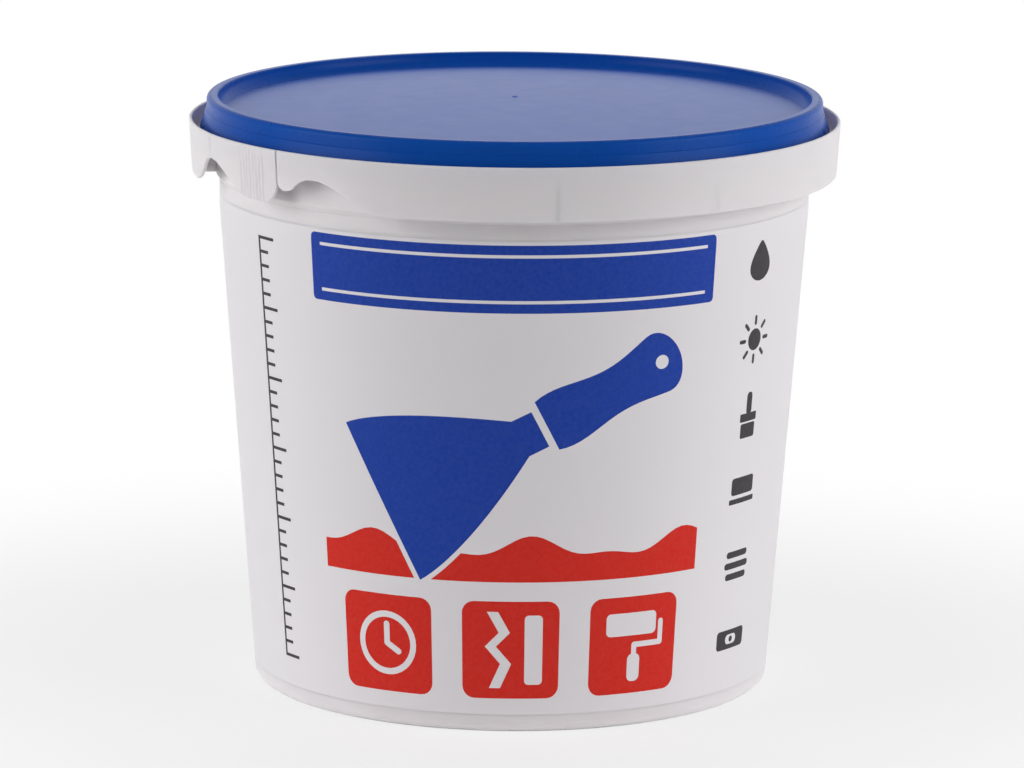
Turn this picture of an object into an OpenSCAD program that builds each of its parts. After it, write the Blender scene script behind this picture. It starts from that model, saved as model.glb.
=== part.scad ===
// Round moulded tub of ready-mixed wall filler: a tapered tub whose tamper-evident collar
// stands round the edge of a press-on lid, with a tear tab that breaks out of the collar.
// The axis of the tub is Z, the foot ring stands on Z = 0 and the front of the label faces -Y.

/* [Tub] */
// Outer radius of the tapered wall where it would meet the ground
base_r = 73.25; // [71:0.05:75]
// Outer radius of the straight band under the collar
band_r = 83.6; // [82:0.1:84]
// Height of the tapered wall
taper_h = 136.5; // [110:0.5:170]
// Height of the straight band above the taper
band_h = 9.5; // [7:0.5:14]
// Thickness of the wall
wall_t = 1.5; // [1.2:0.05:1.8]
// Thickness of the floor
floor_t = 1.6; // [1.2:0.1:2.4]
// Height of the foot ring under the floor
foot_h = 2; // [1.2:0.1:3]
// Width of the flat that the foot ring stands on
foot_w = 4; // [3:0.1:6]
// Outer radius of the rounded heel
heel_r = 3; // [2:0.1:4]
// Radius where the floor turns up into the wall, inside
floor_fillet_r = 4; // [2.5:0.1:6]

/* [Neck and rim] */
// How far the neck stands out from the band below it
neck_step = 1.1; // [0.8:0.05:1.6]
// Height of the sloping ledge under the neck
ledge_h = 1.6; // [1:0.1:2.5]
// Height of the neck, from the ledge to the web of the collar
neck_h = 9.3; // [8:0.1:11]
// Thickness of the neck
neck_t = 1.35; // [1.1:0.05:1.5]
// How far the rim wall stands out from the neck
rim_step = 1.4; // [1.2:0.05:1.6]
// Thickness of the rim wall, which the channel of the lid closes on
rim_t = 0.95; // [0.8:0.05:1.1]
// Height of the rim above the web
rim_h = 9.8; // [9:0.1:12]
// How far the snap bead stands out from the rim
bead_proud = 1.2; // [0.6:0.05:1.3]
// Height of the snap bead's crest above the web
bead_z = 3.1; // [2.8:0.1:3.4]
// Height of the snap bead
bead_h = 3; // [2:0.1:3.4]

/* [Collar] */
// Gap between the lid's flared edge and the collar at its upper edge
collar_gap = 2.65; // [1.8:0.05:6]
// Draft of the collar for moulding, as an angle
collar_draft = 3.6; // [1.5:0.1:4.5]
// Thickness of the collar
collar_t = 1; // [0.8:0.05:1.2]
// Thickness of the web between neck and collar
web_t = 1.3; // [1:0.05:1.6]
// Height of the collar above the web
collar_up = 4.9; // [4:0.1:6]
// Depth of the collar's skirt below the web
skirt_h = 8.9; // [8.6:0.1:10]
// Angle between the stiffening gussets under the web
gusset_step = 30; // [15:15:90]
// Angle of a gusset from the front, from which the others are counted
gusset_turn = 7.5; // [0:0.5:29.5]
// Thickness of a gusset
gusset_t = 1; // [0.8:0.1:1.4]
// How far a gusset ends above the skirt's lower edge
gusset_lift = 0.4; // [0:0.1:2]

/* [Tear tab] */
// Length round the collar from the front to the slit at the tab's free end, on the left
slit_run = 72.7; // [50:0.1:110]
// Width of the slit at the tab's free end
slit_w = 0.4; // [0.3:0.05:0.8]
// Length of the tab along the collar, from the slit to where it bends, above the tab's own arch
tab_len = 34.9; // [33:0.1:44]
// Size of the rounded lower corner at the tab's free end
tab_corner_r = 7.2; // [3:0.1:8]
// Radius of the toe between the slit and its arch
toe_r = 2.4; // [1.5:0.1:3]
// Level length of the toe's tip
toe_flat = 0.5; // [0.2:0.1:1.5]
// Height of the toe's tip above the skirt's lower edge
toe_lift = 4.1; // [3:0.1:5]
// Height of the finger arches above the skirt's lower edge
arch_lift = 8.15; // [6.5:0.05:8.4]
// Length of the steep flank at the slit, from toe to apex
arch_rise_len = 10.1; // [8:0.1:12]
// Length of the steep flank at the bend, from the lower edge to the apex
arch_lead_len = 19; // [16:0.5:22]
// Length of an arch's long flank, from apex to lower edge
arch_run_len = 24; // [16:0.5:26]
// How far below the lower edge the flanks would run out, so that they meet the edge at an angle
arch_exit = 0.3; // [0.2:0.05:0.6]
// Number of ribs on the grip
rib_count = 8; // [4:1:10]
// Distance from rib to rib
rib_pitch = 1.45; // [1.3:0.05:1.8]
// Width of a rib
rib_w = 0.85; // [0.6:0.05:1]
// Height of a rib
rib_h = 0.25; // [0.15:0.05:0.4]
// Distance from the free end to the first rib
rib_start = 5.8; // [5:0.1:10]
// Number of breaking bridges that hold the tab to the web
bridge_count = 5; // [3:1:7]
// Width of a breaking bridge
bridge_w = 1.2; // [0.8:0.1:2]
// Height of a breaking bridge
bridge_h = 0.7; // [0.5:0.1:1]

/* [Lid] */
// Thickness of the lid's walls and panel
lid_t = 0.95; // [0.8:0.05:1.1]
// Thickness of the lid over the rim
lid_top_t = 1.25; // [1:0.05:1.6]
// Full height of the lid's outer wall
lid_h = 10.1; // [9.6:0.1:10.8]
// Height of the upright band at the top of the lid
lid_band_h = 4.05; // [3.4:0.05:4.4]
// Width of the small ledge under the band
lid_ledge_w = 0.3; // [0.15:0.05:0.5]
// How far the lid's lower edge flares out from the band
lid_flare = 1.4; // [1.2:0.05:1.6]
// Height over which the flare runs out
lid_flare_h = 2.9; // [2:0.1:3]
// Radius of the lid's outer upper edge
lid_edge_r = 1.3; // [0.6:0.1:1.4]
// Radius of the lid's inner upper edge
lid_lip_r = 0.5; // [0.2:0.1:0.8]
// Depth of the lid's recess at the panel's edge
recess_d = 4.1; // [4:0.05:5.2]
// Radius of the hollow curve that the recess wall runs down in
recess_curve_r = 2.9; // [2:0.1:3]
// Turn of that curve from upright to where it meets the panel in a crisp corner
recess_turn_a = 68; // [60:1:72]
// Rise of the domed panel from its edge to its middle
panel_crown = 3.45; // [0.5:0.05:3.55]
// Radius of the gate mark in the middle of the panel
gate_r = 0.85; // [0.5:0.05:1.5]
// Height of the gate mark
gate_h = 0.3; // [0.15:0.05:0.4]

/* [Label and filler] */
// Height of the label's lower edge
label_z0 = 5.3; // [5:0.1:12]
// How far the label reaches up the straight band
label_up = 3.4; // [1:0.1:5]
// Thickness of the label film
label_t = 0.25; // [0.15:0.05:0.4]
// Width of the seam where the label's ends meet at the back
seam_w = 1.5; // [0.5:0.1:4]
// Depth of the filler at the wall
fill_depth = 133.7; // [90:0.1:136]
// Height of the ripples that the filling nozzle leaves
ripple_h = 1.2; // [0.4:0.1:1.6]
// Number of ripples from the middle to the wall
ripple_count = 3; // [1:1:4]
// Height of the peak in the middle of the filler
peak_h = 2.6; // [0:0.1:3]

/* [Clearances] */
// Gap between the lid's channel and each side of the rim
lid_gap = 0.2; // [0.1:0.05:0.3]
// Gap between the top of the rim and the lid
seat_gap = 0.1; // [0.05:0.05:0.2]
// Gap between the tear tab and the edge of the web
tab_gap = 0.3; // [0.2:0.05:0.5]
// Gap that the breaking bridges leave to the tab
bridge_gap = 0.1; // [0.05:0.05:0.15]
// Gap between the label and its recess
label_gap = 0.05; // [0.02:0.01:0.1]
// Gap at the bend, where the tab parts from the collar
bend_gap = 0.2; // [0.1:0.05:0.4]
// Gap between the filler and the tub
fill_gap = 0.1; // [0.05:0.05:0.3]
// Least height from the filler's edge up to the foot of the neck
fill_headroom = 8; // [4:0.5:8.5]

/* [Hidden] */
$fn = 96;
// Steps in a quarter round, in an arch flank and along a curved panel
arc_n = 6;
flank_n = 12;
panel_n = 14;
ripple_n = 36;
// How far a cut runs past what it cuts
overrun = 1;
// Share of a wall that a joined feature is sunk into it
bite_share = 0.5;
// Radius of that corner as a share of its size: over 1, so that it meets both edges at an angle
corner_share = 1.06;
// Share of a steep flank that its convex foot takes up, at the slit and at the bend
rise_foot_share = 0.31;
lead_foot_share = 0.69;
// Share of the web's thickness that its link to the collar has
link_share = 0.85;
// Share of the bead's height that its crest takes up
bead_crest_share = 0.25;
full_turn = 360;
half_turn = 180;
quarter = 90;

// Heights, from the ground up
floor_z = foot_h + floor_t;
fill_z = floor_z + fill_gap + fill_depth;
// The neck stands on the straight band, or higher where the filler needs the room
neck_z0 = max(taper_h + band_h, fill_z + fill_headroom);
web_z0 = neck_z0 + neck_h;
web_z1 = web_z0 + web_t;
rim_z = web_z1 + rim_h;
skirt_z = web_z0 - skirt_h;
collar_z = web_z1 + collar_up;
lid_z = rim_z + seat_gap + lid_top_t;
panel_z = lid_z - recess_d;
label_z1 = taper_h + label_up;

// Radii of the tub
taper = (band_r - base_r) / taper_h;
taper_a = atan(taper);
band_in_r = band_r - wall_t;
neck_r = band_r + neck_step;
neck_in_r = neck_r - neck_t;
rim_r = neck_r + rim_step;
rim_in_r = rim_r - rim_t;
bead_r = rim_r + bead_proud;
heel_c = base_r + heel_r * taper - heel_r / cos(taper_a);
foot_in_r = heel_c - foot_w;
label_bed = label_t + label_gap;

// Radii of the lid
lid_r = rim_r + lid_gap + lid_t;
flare_r = lid_r + lid_flare;
recess_r = rim_in_r - lid_gap - lid_t;
panel_r = recess_r - recess_curve_r * (1 - cos(recess_turn_a));

// Outer radius of the collar at its upper edge
collar_r = flare_r + collar_gap + collar_t;

// Radius of the wall and of the collar's two faces at a height
function wall_r(z) = base_r + taper * min(z, taper_h);
function inside_r(z) = wall_r(z) - wall_t;
function collar_out(z) = collar_r - (collar_z - z) * tan(collar_draft);
function collar_in(z) = collar_out(z) - collar_t;
web_edge_r = collar_in(web_z0) - tab_gap;

// Angle that a length along the collar spans, and its width seen square on
function span(s) = s / collar_r * half_turn / PI;
function across(s) = collar_r * sin(span(s));

// Angles round the collar, from the front, positive to the right
slit_a = span(slit_run);
slit_half_a = span(slit_w / 2);
bend_a = -slit_a - span(tab_len);
tab_end_a = -slit_a - slit_half_a;
tab_root_a = bend_a + span(bend_gap / 2);
collar_start_a = -slit_a + slit_half_a;
collar_end_a = bend_a - span(bend_gap / 2);
arch_a = collar_start_a + span(toe_r + toe_flat + arch_rise_len);
arch_end_a = arch_a + span(arch_run_len);
lead_start_a = bend_a - span(arch_lead_len);

// Heights of the toe, of the arches and of the place that their flanks run out to
toe_z = skirt_z + toe_lift;
apex_z = skirt_z + arch_lift;
exit_z = skirt_z - arch_exit;

// Points of a round corner: centre c, radius r, from angle a0 to a1
function arc(c, r, a0, a1) =
    [for (i = [0:arc_n]) let (a = a0 + (a1 - a0) * i / arc_n) c + r * [cos(a), sin(a)]];

// A profile (radius, height) turned about Z from one angle round the collar to another
module turned(from_a, to_a) {
    rotate([0, 0, from_a - quarter]) rotate_extrude(angle = to_a - from_a) children();
}

// An outline (width, height) pushed out through the collar at an angle round it
module through_collar(a) {
    start_r = neck_r + (web_edge_r - neck_r) / 3;
    rotate([0, 0, a]) translate([0, -start_r, 0]) rotate([quarter, 0, 0])
        linear_extrude(collar_r + rib_h + overrun - start_r) children();
}

// Outer and inner lines of the tub, from the middle of the underside round to the middle of the floor
module tub_profile() {
    bed_z0 = label_z0 - label_gap;
    bed_z1 = label_z1 + label_gap;
    turn_z = floor_z + floor_fillet_r;
    turn_r = inside_r(turn_z) - floor_fillet_r;
    foot = [[0, foot_h], [foot_in_r, foot_h], [foot_in_r, 0]];
    heel = arc([heel_c, heel_r], heel_r, -quarter, -taper_a);
    label_bed_line = [[wall_r(bed_z0), bed_z0], [wall_r(bed_z0) - label_bed, bed_z0],
        [band_r - label_bed, taper_h], [band_r - label_bed, bed_z1], [band_r, bed_z1]];
    neck = [[band_r, neck_z0 - ledge_h], [neck_r, neck_z0], [neck_r, web_z1], [rim_r, web_z1 + rim_step]];
    crest_h = bead_h * bead_crest_share / 2;
    bead_z_mid = web_z1 + bead_z;
    bead = [[rim_r, bead_z_mid - bead_h / 2], [bead_r, bead_z_mid - crest_h],
        [bead_r, bead_z_mid + crest_h], [rim_r, bead_z_mid + bead_h / 2]];
    rim_top = arc([rim_r - rim_t / 2, rim_z - rim_t / 2], rim_t / 2, 0, half_turn);
    inside = [[rim_in_r, web_z1 + rim_step], [neck_in_r, web_z1], [neck_in_r, neck_z0],
        [band_in_r, neck_z0 - ledge_h], [band_in_r, taper_h]];
    floor_turn = arc([turn_r, turn_z], floor_fillet_r, 0, -quarter);
    polygon(concat(foot, heel, label_bed_line, neck, bead, rim_top, inside, floor_turn, [[0, floor_z]]));
}

// Section of the collar wall, with a round upper edge
module collar_profile() {
    edge_r = collar_t / 2;
    top = arc([collar_r - edge_r, collar_z - edge_r], edge_r, 0, half_turn);
    polygon(concat([[collar_in(skirt_z), skirt_z], [collar_out(skirt_z), skirt_z]], top));
}

// Section of a grip rib, from the middle of the wall out to its crest, sloping in under the upper edge
module rib_profile() {
    bite = collar_t * bite_share;
    top_z = collar_z - collar_t;
    polygon([[collar_out(skirt_z) - bite, skirt_z], [collar_out(skirt_z) + rib_h, skirt_z],
        [collar_out(top_z) + rib_h, top_z], [collar_out(top_z), top_z + rib_h],
        [collar_out(top_z) - bite, top_z + rib_h]]);
}

// Steep flank (length, height) from its foot up to the apex at the origin: two arcs, steepest where they meet
function steep_flank(run, rise, foot_share) =
    let (a = 2 * atan(rise / run), r = run / sin(a), foot_r = foot_share * r, head_r = r - foot_r)
    concat([for (i = [0:arc_n]) let (b = a * i / arc_n) foot_r * [sin(b), 1 - cos(b)] - [run, rise]],
        [for (i = [arc_n - 1:-1:0]) let (b = a * i / arc_n) -head_r * [sin(b), 1 - cos(b)]]);

// Long flank from the apex of an arch down to the lower edge
long_flank = [for (i = [1:flank_n]) let (u = i / flank_n)
    [arch_run_len * u, exit_z + (apex_z - exit_z) * (1 + cos(half_turn * u)) / 2]];

// Area between a line (length along the collar, height) and a level below the skirt
module below(line) {
    ends = [line[0], line[len(line) - 1]];
    low = [for (p = ends) [across(p.x), skirt_z - overrun]];
    polygon(concat([low[0]], [for (p = line) [across(p.x), p.y]], [low[1]]));
}

// Space under the finger arch at the slit: round toe, steep flank up to the apex, long flank down
module slit_arch_outline() {
    edge = -arch_rise_len - toe_flat - toe_r;
    toe = arc([edge + toe_r, toe_z + toe_r], toe_r, half_turn, half_turn + quarter);
    rise = [for (p = steep_flank(arch_rise_len, apex_z - toe_z, rise_foot_share)) p + [0, apex_z]];
    below(concat([[edge - overrun, toe_z + toe_r]], toe, rise, long_flank));
}

// Space under the finger arch at the bend: steep flank from the lower edge up, long flank down
module bend_arch_outline() {
    lead = [for (p = steep_flank(arch_lead_len, apex_z - exit_z, lead_foot_share)) p + [0, apex_z]];
    below(concat(lead, long_flank));
}

// What is taken off the lower corner at the tab's free end
module corner_outline() {
    low_z = skirt_z - overrun;
    polygon(concat([[overrun, low_z], [overrun, skirt_z + tab_corner_r]],
        arc([-tab_corner_r, skirt_z + tab_corner_r], tab_corner_r * corner_share, 0, -quarter),
        [[-tab_corner_r, low_z]]));
}

// Web all round the neck, with the collar wall and its link to the web outside the tear tab
module collar() {
    bite = neck_t * bite_share;
    link_r = collar_in(web_z0) + collar_t * bite_share;
    link_t = web_t * link_share;
    rotate_extrude() translate([neck_r - bite, web_z0]) square([web_edge_r - neck_r + bite, web_t]);
    turned(collar_start_a, collar_end_a + full_turn)
        translate([web_edge_r - bite, web_z0 + (web_t - link_t) / 2])
            square([link_r - web_edge_r + bite, link_t]);
    difference() {
        turned(collar_start_a, collar_end_a + full_turn) collar_profile();
        through_collar(arch_a) slit_arch_outline();
        through_collar(bend_a) bend_arch_outline();
    }
}

// Upright plates that stiffen the skirt, all round but in the tear zone
module gussets() {
    z0 = skirt_z + gusset_lift;
    bite = collar_t * bite_share;
    plate = [[neck_r - bite, neck_z0], [neck_r, z0], [collar_in(z0) + bite, z0],
        [collar_in(web_z0) + bite, web_z0 + bite], [neck_r - bite, web_z0 + bite]];
    for (a = [gusset_turn - half_turn:gusset_step:gusset_turn + half_turn - gusset_step])
        if (a < lead_start_a || a > arch_end_a)
            rotate([0, 0, a - quarter]) rotate([quarter, 0, 0])
                linear_extrude(gusset_t, center = true) polygon(plate);
}

// Thin bridges from the web towards the tear tab, which break when it is pulled out
module bridges() {
    reach = tab_gap - bridge_gap;
    step_a = (tab_end_a - tab_root_a) / bridge_count;
    half_a = span(bridge_w / 2);
    for (i = [0:bridge_count - 1]) {
        a = tab_root_a + step_a * (i + bite_share);
        turned(a - half_a, a + half_a) translate([web_edge_r - web_t, web_z0])
            square([web_t + reach, bridge_h]);
    }
}

module tub() {
    color("#dddbde") {
        rotate_extrude() tub_profile();
        collar();
        gussets();
        bridges();
    }
}

module tear_tab() {
    rib_half_a = span(rib_w / 2);
    color("#e3e1e4") difference() {
        union() {
            turned(tab_root_a, tab_end_a) collar_profile();
            for (i = [0:rib_count - 1]) {
                a = tab_end_a - span(rib_start + rib_pitch * i);
                turned(a - rib_half_a, a + rib_half_a) rib_profile();
            }
        }
        through_collar(bend_a) bend_arch_outline();
        through_collar(tab_end_a) corner_outline();
    }
}

// Section of the lid: outer wall with flare, ledge and band, top edge, recess and domed panel
module lid_profile() {
    bottom_z = lid_z - lid_h;
    ledge_z = lid_z - lid_band_h;
    flare_z = ledge_z - lid_flare_h;
    ledge_r = lid_r + lid_ledge_w;
    flare = [for (i = [0:arc_n]) let (u = i / arc_n)
        [ledge_r + (flare_r - ledge_r) * pow(1 - u, 2), flare_z + lid_flare_h * u]];
    flare_in = [for (i = [arc_n:-1:0]) [flare[i].x - lid_t - lid_ledge_w * i / arc_n, flare[i].y]];
    top = concat(arc([lid_r - lid_edge_r, lid_z - lid_edge_r], lid_edge_r, 0, quarter),
        arc([recess_r + lid_lip_r, lid_z - lid_lip_r], lid_lip_r, quarter, half_turn));
    turn_c = [recess_r - recess_curve_r, panel_z + recess_curve_r * sin(recess_turn_a)];
    dome = [for (i = [panel_n:-1:0]) let (r = panel_r * i / panel_n)
        [r, panel_z + panel_crown * (1 - pow(r / panel_r, 2))]];
    dome_in = [for (i = [panel_n:-1:0]) dome[i] - [0, lid_t]];
    channel_z = lid_z - lid_top_t;
    channel = [[recess_r + lid_t, channel_z], [lid_r - lid_t, channel_z]];
    polygon(concat([[flare_r, bottom_z]], flare, [[lid_r, ledge_z]], top,
        arc(turn_c, recess_curve_r, 0, -recess_turn_a), [for (i = [1:panel_n]) dome[i]],
        dome_in, [for (p = arc(turn_c, recess_curve_r + lid_t, -recess_turn_a, 0)) if (p.y < channel_z) p],
        channel, flare_in, [[flare_r - lid_t, bottom_z]]));
}

module lid() {
    color("#1d4a9b") {
        rotate_extrude() lid_profile();
        translate([0, 0, panel_z + panel_crown - lid_t * bite_share])
            cylinder(h = lid_t * bite_share + gate_h, r = gate_r);
    }
}

// Film that wraps the wall, flush in its bed, with a narrow seam at the back
module label() {
    seam_a = seam_w / band_r * half_turn / PI / 2;
    bed = [[wall_r(label_z0), label_z0], [band_r, taper_h], [band_r, label_z1]];
    back = [for (i = [2:-1:0]) bed[i] - [label_t, 0]];
    color("#e8e7ea")
        turned(-half_turn + seam_a, half_turn - seam_a) polygon(concat(bed, back));
}

// Paste that fills the tub, with the ripples and the peak that the filling nozzle leaves on top
module filler() {
    z0 = floor_z + fill_gap;
    turn_z = floor_z + floor_fillet_r;
    turn_r = inside_r(turn_z) - floor_fillet_r;
    top_r = inside_r(fill_z) - fill_gap;
    turn = arc([turn_r, turn_z], floor_fillet_r - fill_gap, -quarter, 0);
    surface = [for (i = [ripple_n:-1:0]) let (u = i / ripple_n)
        [top_r * u, fill_z + ripple_h * (1 - cos(full_turn * ripple_count * (1 - u))) / 2
            + peak_h * pow(1 - u, 4)]];
    color("#f3f1ea") rotate_extrude() polygon(concat([[0, z0]], turn, surface));
}

tub();
tear_tab();
lid();
label();
filler();
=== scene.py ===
# %% [markdown]
# A tub of ready-mixed wall filler, dressed for a studio picture. The construction comes from the
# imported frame: every piece below is a finer skin for one of its nodes, worked out with numpy in the
# same frame, so nothing has to be fitted afterwards. Lengths on the tub are written in millimetres, and
# angles round it are counted from the front, positive to the right. Lamps, floor and bumps are in metres.

# %% Load the frame and keep its box
import math

import bpy
import numpy as np
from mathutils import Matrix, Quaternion, Vector
from mathutils.geometry import delaunay_2d_cdt, tessellate_polygon


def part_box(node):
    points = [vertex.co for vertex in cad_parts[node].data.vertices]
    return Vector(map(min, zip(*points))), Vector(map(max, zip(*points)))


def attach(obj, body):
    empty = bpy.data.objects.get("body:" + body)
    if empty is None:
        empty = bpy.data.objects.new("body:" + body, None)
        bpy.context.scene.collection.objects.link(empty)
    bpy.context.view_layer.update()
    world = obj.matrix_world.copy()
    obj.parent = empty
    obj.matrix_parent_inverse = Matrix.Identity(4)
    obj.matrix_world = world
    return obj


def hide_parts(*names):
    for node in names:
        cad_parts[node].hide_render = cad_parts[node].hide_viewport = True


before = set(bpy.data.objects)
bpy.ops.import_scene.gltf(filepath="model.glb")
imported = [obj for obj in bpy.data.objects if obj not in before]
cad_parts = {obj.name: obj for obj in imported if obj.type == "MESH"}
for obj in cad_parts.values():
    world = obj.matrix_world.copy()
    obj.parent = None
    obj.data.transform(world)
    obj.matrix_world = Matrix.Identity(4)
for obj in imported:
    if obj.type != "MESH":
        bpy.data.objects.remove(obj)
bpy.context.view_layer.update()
MM = 0.001

# %% [markdown]
# The camera comes first, because everything is judged through it. It stands far away with a long lens,
# a little above the lid, and it is rolled by a touch, because the tub leans to the right in the picture.

# %% Camera at the photograph's viewing angle
IMAGE_W = 1024
SENSOR_W = 36.0
FOCAL_PX = 6312.85
AIM = Vector((-0.176, 0.0, 84.13)) * MM
DISTANCE = 1804.2 * MM
ELEVATION = math.radians(11.143)
ROLL = math.radians(0.466)


def add_object(name, data):
    """A new object in the scene, with its mesh, lamp or lens."""
    item = bpy.data.objects.new(name, data)
    bpy.context.scene.collection.objects.link(item)
    return item


lens = bpy.data.cameras.new("camera")
lens.sensor_width = SENSOR_W
lens.lens = FOCAL_PX / IMAGE_W * SENSOR_W
towards_camera = Vector((0.0, -math.cos(ELEVATION), math.sin(ELEVATION)))
camera = add_object("camera", lens)
camera.rotation_mode = "QUATERNION"
camera.location = AIM + towards_camera * DISTANCE
camera.rotation_quaternion = (-towards_camera).to_track_quat("-Z", "Y") @ Quaternion((0, 0, 1), ROLL)
bpy.context.scene.camera = camera
print("camera lens", round(lens.lens, 1), "mm")

# %% [markdown]
# The light is that of a product table: a tall soft box on each side and a broad one overhead towards
# the back, so that the flanks of the tub are bright and its middle is a shade darker. A white table
# throws light up as well. A round lamp that lies on it, about the tub's foot, gives that without a
# brighter floor.

# %% Lamps
SIDES = (("soft_box_left", -70.0, 9.0), ("soft_box_right", 67.0, 9.1))
SIDE_DISTANCE, SIDE_HEIGHT, SIDE_SIZE = 1.05, 0.30, (0.75, 0.95)
TOP_PLACE, TOP_SIZE, TOP_POWER = Vector((0.0, 0.55, 1.35)), (1.3, 0.9), 4.6
TABLE_PLACE, TABLE_SIZE, TABLE_POWER = Vector((0.0, 0.0, 0.0005)), (0.4, 0.4), 0.085
TARGET = Vector((0.0, 0.0, 0.085))
UP = Vector((0.0, 0.0, 1.0))


def soft_box(name, place, size, power, target=TARGET, shape="RECTANGLE"):
    """An area lamp that faces a target from its place."""
    data = bpy.data.lights.new(name, "AREA")
    data.shape = shape
    data.size, data.size_y = size
    data.energy = power
    lamp = add_object(name, data)
    lamp.location = place
    lamp.rotation_euler = (target - place).to_track_quat("-Z", "Y").to_euler()
    lamp.visible_camera = False
    return lamp


for name, azimuth, power in SIDES:
    turn = math.radians(azimuth)
    place = Vector((math.sin(turn) * SIDE_DISTANCE, -math.cos(turn) * SIDE_DISTANCE, SIDE_HEIGHT))
    soft_box(name, place, SIDE_SIZE, power)
soft_box("soft_box_top", TOP_PLACE, TOP_SIZE, TOP_POWER)
table = soft_box("light_table", TABLE_PLACE, TABLE_SIZE, TABLE_POWER, TABLE_PLACE + UP, "ELLIPSE")
table.visible_glossy = False

# %% [markdown]
# The world is a dim fill for diffuse light, and plain white where the camera or a reflection looks into
# it. Light Path tells the two kinds of ray apart, so the white backdrop adds no light to the tub.

# %% World
FILL = (1.0, 0.985, 1.0, 1.0), 0.07
BACKDROP = (1.0, 1.0, 1.0, 1.0), 1.0


def combined(tree, operation, first, second):
    """The result of a math node for two values."""
    node = tree.nodes.new("ShaderNodeMath")
    node.operation = operation
    tree.links.new(first, node.inputs[0])
    tree.links.new(second, node.inputs[1])
    return node.outputs[0]


def seen_by_eye(tree):
    """A node value that is 1 for rays from the camera, a reflection or glass, and 0 for diffuse light."""
    path = tree.nodes.new("ShaderNodeLightPath")
    looks = combined(tree, "MAXIMUM", path.outputs["Is Camera Ray"], path.outputs["Is Glossy Ray"])
    return combined(tree, "MAXIMUM", looks, path.outputs["Is Transmission Ray"])


def glowing(tree, kind, colour, strength):
    """A background or emission node of one colour and strength."""
    node = tree.nodes.new(kind)
    node.inputs["Color"].default_value = colour
    node.inputs["Strength"].default_value = strength
    return node


def show_mix(tree, output, fac, first, second):
    """Two shader nodes mixed by a factor and led to the output."""
    mix = tree.nodes.new("ShaderNodeMixShader")
    tree.links.new(fac, mix.inputs["Fac"])
    tree.links.new(first.outputs[0], mix.inputs[1])
    tree.links.new(second.outputs[0], mix.inputs[2])
    tree.links.new(mix.outputs[0], tree.nodes.new(output).inputs["Surface"])


world = bpy.data.worlds.new("studio")
world.use_nodes = True
world_tree = world.node_tree
world_tree.nodes.clear()
fill = glowing(world_tree, "ShaderNodeBackground", *FILL)
backdrop = glowing(world_tree, "ShaderNodeBackground", *BACKDROP)
show_mix(world_tree, "ShaderNodeOutputWorld", seen_by_eye(world_tree), fill, backdrop)
bpy.context.scene.world = world
bpy.context.scene.view_settings.view_transform = "Standard"
print("world", world.name)

# %% [markdown]
# The floor is white in the same way. Close to the tub it still takes the shadow, and further out it
# fades into the backdrop.

# %% Floor
FLOOR_SIZE = 6.0
FLOOR_COLOUR = (0.85, 0.85, 0.85, 1.0)
GLOW_NEAR, GLOW_FROM, GLOW_TO = 0.72, 0.1, 0.32


def ranged(tree, value, low, high, start=0.3, end=0.7, curve="LINEAR"):
    """The value's stretch from start to end, carried over to the stretch from low to high."""
    node = tree.nodes.new("ShaderNodeMapRange")
    node.interpolation_type = curve
    for key, number in (("From Min", start), ("From Max", end), ("To Min", low), ("To Max", high)):
        node.inputs[key].default_value = number
    tree.links.new(value, node.inputs["Value"])
    return node.outputs["Result"]


def floor_material():
    """Diffuse white, of which the eye sees a share as plain white glow. The share grows to all of it with
    the distance from the middle."""
    material = bpy.data.materials.new("floor_white")
    material.use_nodes = True
    tree = material.node_tree
    tree.nodes.clear()
    surface = tree.nodes.new("ShaderNodeBsdfDiffuse")
    surface.inputs["Color"].default_value = FLOOR_COLOUR
    glow = glowing(tree, "ShaderNodeEmission", *BACKDROP)
    place = tree.nodes.new("ShaderNodeTexCoord")
    reach = tree.nodes.new("ShaderNodeVectorMath")
    reach.operation = "LENGTH"
    tree.links.new(place.outputs["Object"], reach.inputs[0])
    grow = ranged(tree, reach.outputs["Value"], GLOW_NEAR, 1.0, GLOW_FROM, GLOW_TO, "SMOOTHSTEP")
    share = combined(tree, "MULTIPLY", seen_by_eye(tree), grow)
    show_mix(tree, "ShaderNodeOutputMaterial", share, surface, glow)
    return material


half = FLOOR_SIZE / 2
square = [(-half, -half, 0), (half, -half, 0), (half, half, 0), (-half, half, 0)]
floor_mesh = bpy.data.meshes.new("floor")
floor_mesh.from_pydata(square, [], [(0, 1, 2, 3)])
floor_mesh.materials.append(floor_material())
floor = add_object("floor", floor_mesh)
print("floor", tuple(floor.dimensions))

# %% [markdown]
# Most surfaces here are grids: functions of two parameters, evaluated for all of their points at once,
# which gives exact places and exact shading normals. A patch holds a grid's points, faces and normals,
# and a piece is a list of patches.

# %% Grids of points as patches
POLE_SIZE = 1e-6


def unit(vectors):
    """Vectors divided by their lengths, with a length of zero left alone."""
    length = np.linalg.norm(vectors, axis=-1, keepdims=True)
    return vectors / np.where(length > 0, length, 1.0)


def steps(grid, axis, wrap):
    """Direction along an axis at each point, from its neighbours on both sides."""
    if wrap:
        return np.roll(grid, -1, axis) - np.roll(grid, 1, axis)
    return np.gradient(grid, axis=axis)


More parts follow.
